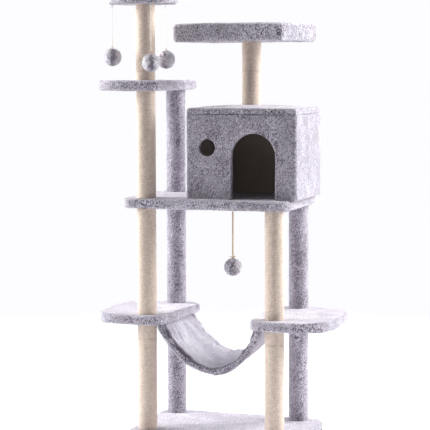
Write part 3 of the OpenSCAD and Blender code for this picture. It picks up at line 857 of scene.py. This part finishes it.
def sling(angle, y):
    """The sling's middle surface: x goes with the sine of the angle and the sag with a power of its
    cosine, and both ends and the lowest point change evenly from the front to the back."""
    share = (y - front_y0) / (back_y1 - front_y0)
    left = sling_ends[0, 0] + (sling_ends[1, 0] - sling_ends[0, 0]) * share
    right = sling_ends[0, 1] + (sling_ends[1, 1] - sling_ends[0, 1]) * share
    low = sling_low_z[0] + (sling_low_z[1] - sling_low_z[0]) * share
    end = np.where(angle < 0, left, right)
    power = np.where(angle < 0, fullness[0], fullness[1])
    x = sling_low_x + np.abs(np.sin(angle)) * (end - sling_low_x)
    z = shelf_z - (shelf_z - low) * np.maximum(np.cos(angle), 0) ** power
    return np.stack([x, y + 0 * x, z], -1)


def even_angles(y, count):
    """Angles whose points lie evenly spaced along the sling at that y."""
    fine = np.linspace(-math.pi / 2, math.pi / 2, 600)
    line = sling(fine, np.full(600, y))
    run = np.concatenate([[0], np.cumsum(np.linalg.norm(np.diff(line, axis=0), axis=1))])
    return np.interp(np.linspace(0, run[-1], count), run, fine), run[-1]


sling_columns, sling_rows = 190, 92
angles, sling_length = even_angles(0.0, sling_columns)
y_lines = np.linspace(front_y0 + hem_t * 0.6, back_y1 - hem_t * 0.6, sling_rows)
angle, y = np.meshgrid(angles, y_lines)
sheet_points = sling(angle, y).reshape(-1, 3)
sheet_faces = grid_faces(sling_rows, sling_columns)
sheet_normal = normals_of(sheet_points, sheet_faces)
run = np.tile(np.linspace(0, 1, sling_columns), sling_rows)
width = np.repeat(np.linspace(0, 1, sling_rows), sling_columns)
# Long creases fan out from the left end, short ones stand at the hems, and the cloth sinks there.
fan = (width - 0.45) / (run + 0.4)
spread = np.stack([fan * 5.5, run * 1.5, 0 * run], 1)
creased = crease * soft_noise(spread, 1.0, 51) + 3 * MM * soft_noise(spread * (2.3, 1.6, 1), 1.0, 52)
folds = creased / crease
past_hem = np.minimum(y.ravel() - front_y0, back_y1 - y.ravel()) - hem_t
past_front = y.ravel() - front_y0 - hem_t
past_back = back_y1 - y.ravel() - hem_t
near_hem = np.exp(-np.clip(past_hem, 0, 1) / (28 * MM))
gathers = soft_noise(np.stack([run * 30, 3 * width, 0 * run], 1), 1.0, 53)
creased += near_hem * gathers * 7 * MM
creased += soft_noise(sheet_points, 45 * MM, 50) * 3 * MM
creased -= np.exp(-(past_front / (9 * MM)) ** 2) * 6 * MM
# At the back the lining runs smoothly up over the hem.
creased += np.exp(-(np.clip(past_back, 0, 1) / (30 * MM)) ** 2) * 9 * MM
from_end = shelf_z - sheet_points[:, 2]
creased *= np.clip(from_end / (40 * MM), 0, 1)
sheet_points = sheet_points + sheet_normal * creased[:, None]

# Short brushed polyester: paler and evener than the long pile, with little depth between its fibres.
lining = plush_material("short_lining", "#eceaf1", "#aaa3b1", 0.6, 2.0)
points, faces, tone = closed_sheet(sheet_points, sheet_faces, 0.9 * MM, 5 * MM, 14, 9 * MM)
# Painted shade and light: the lining is darkened in the groove at the front hem and in the folds'
# hollows, paler on their crests, darker towards the shelves and paler lower down, and dark in a thin
# line right under the shelves.
shade = (1 - 0.85 * np.exp(-(np.clip(past_front, 0, 1) / (6 * MM)) ** 2)) * (1 + 0.35 * folds)
shade *= 0.55 + 0.65 * np.clip(from_end / (130 * MM), 0, 1)
shade *= 1 - 1.2 * np.exp(-(from_end / (11 * MM)) ** 4)
cloth = make_piece("hammock_sling", points, faces, lining, tone=(0.25 + 0.75 * tone) * np.tile(shade, 2))


def hem(y_middle, seed, height_share, loft):
    """A padded hem: a flattened round carried along the sling's edge, pinched into gathers."""
    count, sides = 210, 44
    angles = even_angles(y_middle, count)[0]
    line = sling(angles, np.full(count, y_middle))
    along = np.gradient(line, axis=0)
    along /= np.linalg.norm(along, axis=1)[:, None]
    side = np.array([0, 1.0, 0])
    up = np.cross(along, side)
    up *= np.sign(up[count // 2, 2])
    around = np.linspace(0, 2 * math.pi, sides, endpoint=False)
    run = np.linspace(0, 1, count)
    pinch = 0.9 + 0.2 * soft_noise(np.stack([run * 26, 0 * run, 0 * run], 1), 1.0, seed)
    high = hem_t / 2 * pinch * height_share
    wide = hem_t / 2 * 0.92
    c, s = squared(np.cos(around), 0.8), squared(np.sin(around), 0.8)
    points = (line[:, None] + wide * c[None, :, None] * side
              + (high[:, None] * s[None, :])[:, :, None] * up[:, None])
    points = points.reshape(-1, 3)
    faces = np.concatenate([grid_faces(count, sides, True), end_caps(count, sides)])
    normal = normals_of(points, faces)
    if (normal * (points - np.repeat(line, sides, 0))).sum() < 0:
        faces, normal = faces[:, ::-1], -normal
    height, tone = pile(points, loft, 9 * MM, seed)
    return points + normal * height[:, None], faces, tone, line, up


def closed_tube(line, radius, sides):
    """A tube whose faces point outwards."""
    points, faces = carry(line, radius, sides, (0, 1, 0.01))
    outward = (normals_of(points, faces) * (points - np.repeat(line, sides, 0))).sum()
    return points, faces if outward > 0 else faces[:, ::-1]


points, faces, tone, line, up = hem(front_y0 + hem_t / 2, 15, 1.0, 3 * MM)
# Painted shade: the groove where the lining is gathered into the hem is darkened along a wavy line,
# most towards the left, and the whole hem is darkened, more at its left end than at its right.
sides = len(points) // len(line)
middle = np.repeat(line, sides, 0)
raised = ((points - middle) * np.repeat(up, sides, 0)).sum(1) / (hem_t / 2)
run = np.repeat(np.linspace(0, 1, len(line)), sides)
wander = soft_noise(run[:, None] * (20, 0, 0), 1.0, 54)
seam_shade_strength = np.clip(1.7 - 1.2 * run, 0.45, 1)
seam_shade = seam_shade_strength * np.clip((raised - 0.52 + 0.28 * wander) / 0.12, 0, 1)
front_hem = make_piece("hammock_front_hem_plush", points, faces, plush,
                       tone=tone * (0.5 + 0.3 * run) * (1 - 0.8 * seam_shade) - 1.2 * seam_shade)
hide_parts("hammock_front_hem")

# The lining's folded edge shows as a thin pale line under the front hem, widest at the left.
edge_line = line + up * (-0.46 * hem_t) + np.array([0, -0.38 * hem_t, 0])
edge_r = np.linspace(2.6 * MM, 0.9 * MM, len(line))
points, faces = closed_tube(edge_line, edge_r, 10)
lining_edge = make_piece("hammock_lining_edge", points, faces, lining, tone=np.full(len(points), 0.9))

points, faces, tone, line, up = hem(back_y1 - hem_t / 2, 15, 0.7, 1.6 * MM)
back_hem = make_piece("hammock_back_hem_plush", points, faces, lining, tone=0.5 + 0.5 * tone)
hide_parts("hammock_back_hem")

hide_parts("hammock_cloth")


# --- Balls ------------------------------------------------------------------------------------
# Fluffy pompons of long pile round a light core, each closed over the knot of its string.

# Cut polyester yarn: pale tips all round over darker roots; the dark band down each ball is painted shade.
pompon = plush_material("pompon_pile", "#f1eef5", "#766d7c", 1.0, 3.0)


def fluffy_ball(node, seed, heading, parting_and_shade_weight):
    """A closed ball on lines of latitude and longitude, with tufts of pile pointing outwards.
    The pile dips a little down the side at that heading. There the tone is darkened, painted shade, and
    elsewhere it is paled, painted light, by the last argument. A ball with less of it is darkened all over,
    painted shade."""
    low, high = (np.array(corner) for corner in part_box(node))
    centre, radius = (low + high) / 2, (high[2] - low[2]) / 2
    rows, columns = 62, 112
    tilt = np.linspace(0, math.pi, rows + 2)[1:-1]
    angle, tilt = np.meshgrid(np.linspace(0, 2 * math.pi, columns, endpoint=False), tilt)
    out = np.stack([np.sin(tilt) * np.cos(angle), np.sin(tilt) * np.sin(angle), np.cos(tilt)], -1)
    out = np.concatenate([out.reshape(-1, 3), [[0, 0, 1.0], [0, 0, -1.0]]])
    height, tone = pile(centre + out * radius, 5.2 * MM, 8 * MM, seed)
    across = out @ np.array([-math.sin(heading), math.cos(heading), 0])
    facing = out @ np.array([math.cos(heading), math.sin(heading), 0]) > 0
    across += 0.14 * soft_noise(out, 0.35, seed + 61)
    parting_and_shade_band = facing * np.exp(-(across / 0.3) ** 2)
    height -= 1.5 * MM * parting_and_shade_band * parting_and_shade_weight
    tone = np.clip(tone + parting_and_shade_weight * (0.25 - 0.75 * parting_and_shade_band) - 0.35 * (1 - parting_and_shade_weight), -0.3, 1)
    stray = soft_noise(out, 0.045, seed + 60) * 0.9 * MM
    points = centre + out * (radius - 0.8 * MM + height + stray)[:, None]
    around = np.arange(columns)
    after = (around + 1) % columns
    top, bottom = rows * columns, rows * columns + 1
    last = (rows - 1) * columns
    faces = np.concatenate([
        grid_faces(rows, columns, True)[:, ::-1],
        np.stack([around, after, np.full(columns, top), np.full(columns, top)], 1),
        np.stack([last + after, last + around, np.full(columns, bottom), np.full(columns, bottom)], 1),
    ])
    return points, faces, tone


# Each ball's body, the heading in degrees at which its pile parts and its painted shade band runs, and
# how far it parts and how strong that painted shade and light are, 0 to 1; below 1 the whole ball is
# also darkened, painted shade.
balls = {"perch_ball_a": ("pendulum_a", -60, 1.0), "perch_ball_b": ("pendulum_b", -67, 1.0),
         "perch_ball_c": ("pendulum_c", -85, 1.0), "drop_ball": ("pendulum_drop", -75, 0.3)}
for number, (node, (body, heading, parting_and_shade_weight)) in enumerate(balls.items()):
    points, faces, tone = fluffy_ball(node, 16 + number, math.radians(heading), parting_and_shade_weight)
    ball = make_piece(f"{node}_pile", points, faces, pompon, body, tone)
    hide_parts(node)


# --- Boards, tubes, fasteners and felt --------------------------------------------------------
# The pieces that the covers hide, and what shows of them inside the house and underneath.


def grained(name, light, dark, scale, roughness, bump_height, metallic=0.0):
    """Wood, paper, felt or plated steel: a noise stretched by scale (per metre along X, Y, Z)
    between two colours, with the same noise as its bump."""
    material, tree, output = blank_material(name)
    place = add(tree, "ShaderNodeTexCoord")
    stretch = add(tree, "ShaderNodeMapping", {"Vector": place.outputs["Object"], "Scale": scale})
    grain = add(tree, "ShaderNodeTexNoise", {"Vector": stretch.outputs[0], "Scale": 1.0, "Detail": 5.0})
    colour = add(tree, "ShaderNodeMix", {0: grain.outputs[0], 6: linear(dark), 7: linear(light)},
                 data_type="RGBA")
    bump = add(tree, "ShaderNodeBump", {"Height": grain.outputs[0], "Strength": 0.4,
                                        "Distance": bump_height})
    shader = add(tree, "ShaderNodeBsdfPrincipled", {
        "Base Color": colour.outputs[2], "Roughness": roughness, "Metallic": metallic,
        "Normal": bump.outputs["Normal"]})
    tree.links.new(shader.outputs[0], output.inputs["Surface"])
    return material


# Chipboard: brown speckle of pressed chips. Fibreboard: even and pale inside the house. Pine: long pale
# grain. Paper tube: dull brown with a faint grain. Zinc: bright grey steel. Felt: dark matted fibre.
chipboard = grained("pressed_chipboard", "#b89468", "#7d5c3b", (220, 220, 220), 0.8, 0.3 * MM)
fibreboard = grained("brown_fibreboard", "#d0c2b7", "#b3a69c", (180, 180, 180), 0.85, 0.2 * MM)
pine = grained("planed_pine", "#d8b887", "#b08b5a", (40, 6, 160), 0.6, 0.2 * MM)
paper_tube = grained("wound_paper_tube", "#a98a64", "#8b6d4a", (60, 60, 90), 0.8, 0.1 * MM)
zinc = grained("zinc_plated_steel", "#c9cbd0", "#9fa2a8", (700, 700, 700), 0.35, 0.02 * MM, 1.0)
felt = grained("needled_felt", "#55535a", "#323138", (600, 600, 600), 0.95, 0.4 * MM)

finishes = {
    chipboard: ["base_board", "left_shelf_board", "right_shelf_board", "platform_board",
                "oval_shelf_board", "perch_board", "bed_board", "house_lid_board"],
    fibreboard: ["house_front_panel", "house_back_panel", "house_left_panel", "house_right_panel"],
    pine: ["post_plugs", "hammock_battens"],
    paper_tube: ["post_tubes"],
    zinc: ["post_studs", "post_bolts", "bolt_washers", "house_screws", "hammock_screws",
           "string_staples", "perch_ring_a", "perch_ring_b", "perch_ring_c", "drop_ring"],
    felt: ["base_felt"],
}
for material, nodes in finishes.items():
    for node in nodes:
        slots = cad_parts[node].data.materials
        slots.clear()
        slots.append(material)


# --- Floor and light --------------------------------------------------------------------------
# A plain white floor, a bright backdrop behind, and soft boxes at the left, behind on the right and
# overhead, with little from the front, so that edges and tops are bright and fronts are darker.

floor_mesh = bpy.data.meshes.new("floor")
reach = 4.0
fade_start, fade_end = 1.3, 3.4     # metres from the tree's middle, where the floor gives way to backdrop
floor_mesh.from_pydata([(-reach, -reach, 0), (reach, -reach, 0), (reach, reach, 0), (-reach, reach, 0)],
                       [], [(0, 1, 2, 3)])
paper, tree, output = blank_material("white_paper")
place = add(tree, "ShaderNodeTexCoord")
away = add(tree, "ShaderNodeVectorMath", {0: place.outputs["Object"]}, operation="LENGTH")
fade = add(tree, "ShaderNodeMapRange", {"Value": away.outputs["Value"], 1: fade_start, 2: fade_end},
           interpolation_type="SMOOTHSTEP")
matt = add(tree, "ShaderNodeBsdfDiffuse", {"Color": linear("#f4f4f8")})
clear = add(tree, "ShaderNodeBsdfTransparent")
surface = add(tree, "ShaderNodeMixShader", {0: fade.outputs[0], 1: matt.outputs[0], 2: clear.outputs[0]})
tree.links.new(surface.outputs[0], output.inputs["Surface"])
floor_mesh.materials.append(paper)
floor = bpy.data.objects.new("floor", floor_mesh)
floor.location.z = -0.5 * MM
bpy.context.collection.objects.link(floor)

room_light, backdrop_light = 0.2, 1.3
world = bpy.data.worlds.new("studio")
world.use_nodes = True
tree = world.node_tree
tree.nodes.clear()
seen = add(tree, "ShaderNodeLightPath")
heading = add(tree, "ShaderNodeTexCoord")
# The share of the way from the dim room in front to the bright backdrop behind.
behind = add(tree, "ShaderNodeVectorMath", {0: heading.outputs["Generated"], 1: (-0.32, 0.95, 0)},
             operation="DOT_PRODUCT")
share = add(tree, "ShaderNodeMapRange", {"Value": behind.outputs["Value"], 1: -0.1, 2: 0.85, 3: room_light,
                                         4: backdrop_light})
around_light = add(tree, "ShaderNodeBackground", {"Color": linear("#f5f4fa"), "Strength": share.outputs[0]})
backdrop = add(tree, "ShaderNodeBackground", {"Color": linear("#fdfdff"), "Strength": 1.0})
mixed = add(tree, "ShaderNodeMixShader", {0: seen.outputs["Is Camera Ray"], 1: around_light.outputs[0],
                                          2: backdrop.outputs[0]})
add(tree, "ShaderNodeOutputWorld", {"Surface": mixed.outputs[0]})
bpy.context.scene.world = world
bpy.context.scene.view_settings.view_transform = "Standard"

# Each soft box: place, size in metres, power in watts.
soft_boxes = {
    "left_box": ((-2.6, -0.3, 1.95), (2.4, 2.0), 165),
    "right_box": ((2.3, 1.15, 2.05), (2.4, 2.0), 180),
    "top_box": ((0.0, 0.3, 3.9), (2.4, 2.0), 36),
}
for name, (place, size, power) in soft_boxes.items():
    data = bpy.data.lights.new(name, "AREA")
    data.shape = "RECTANGLE"
    data.size, data.size_y = size
    data.energy = power
    lamp = bpy.data.objects.new(name, data)
    lamp.location = place
    aim = Vector((0, 0, 0.8)) - Vector(place)
    lamp.rotation_euler = aim.to_track_quat("-Z", "Y").to_euler()
    lamp.visible_camera = False
    bpy.context.collection.objects.link(lamp)
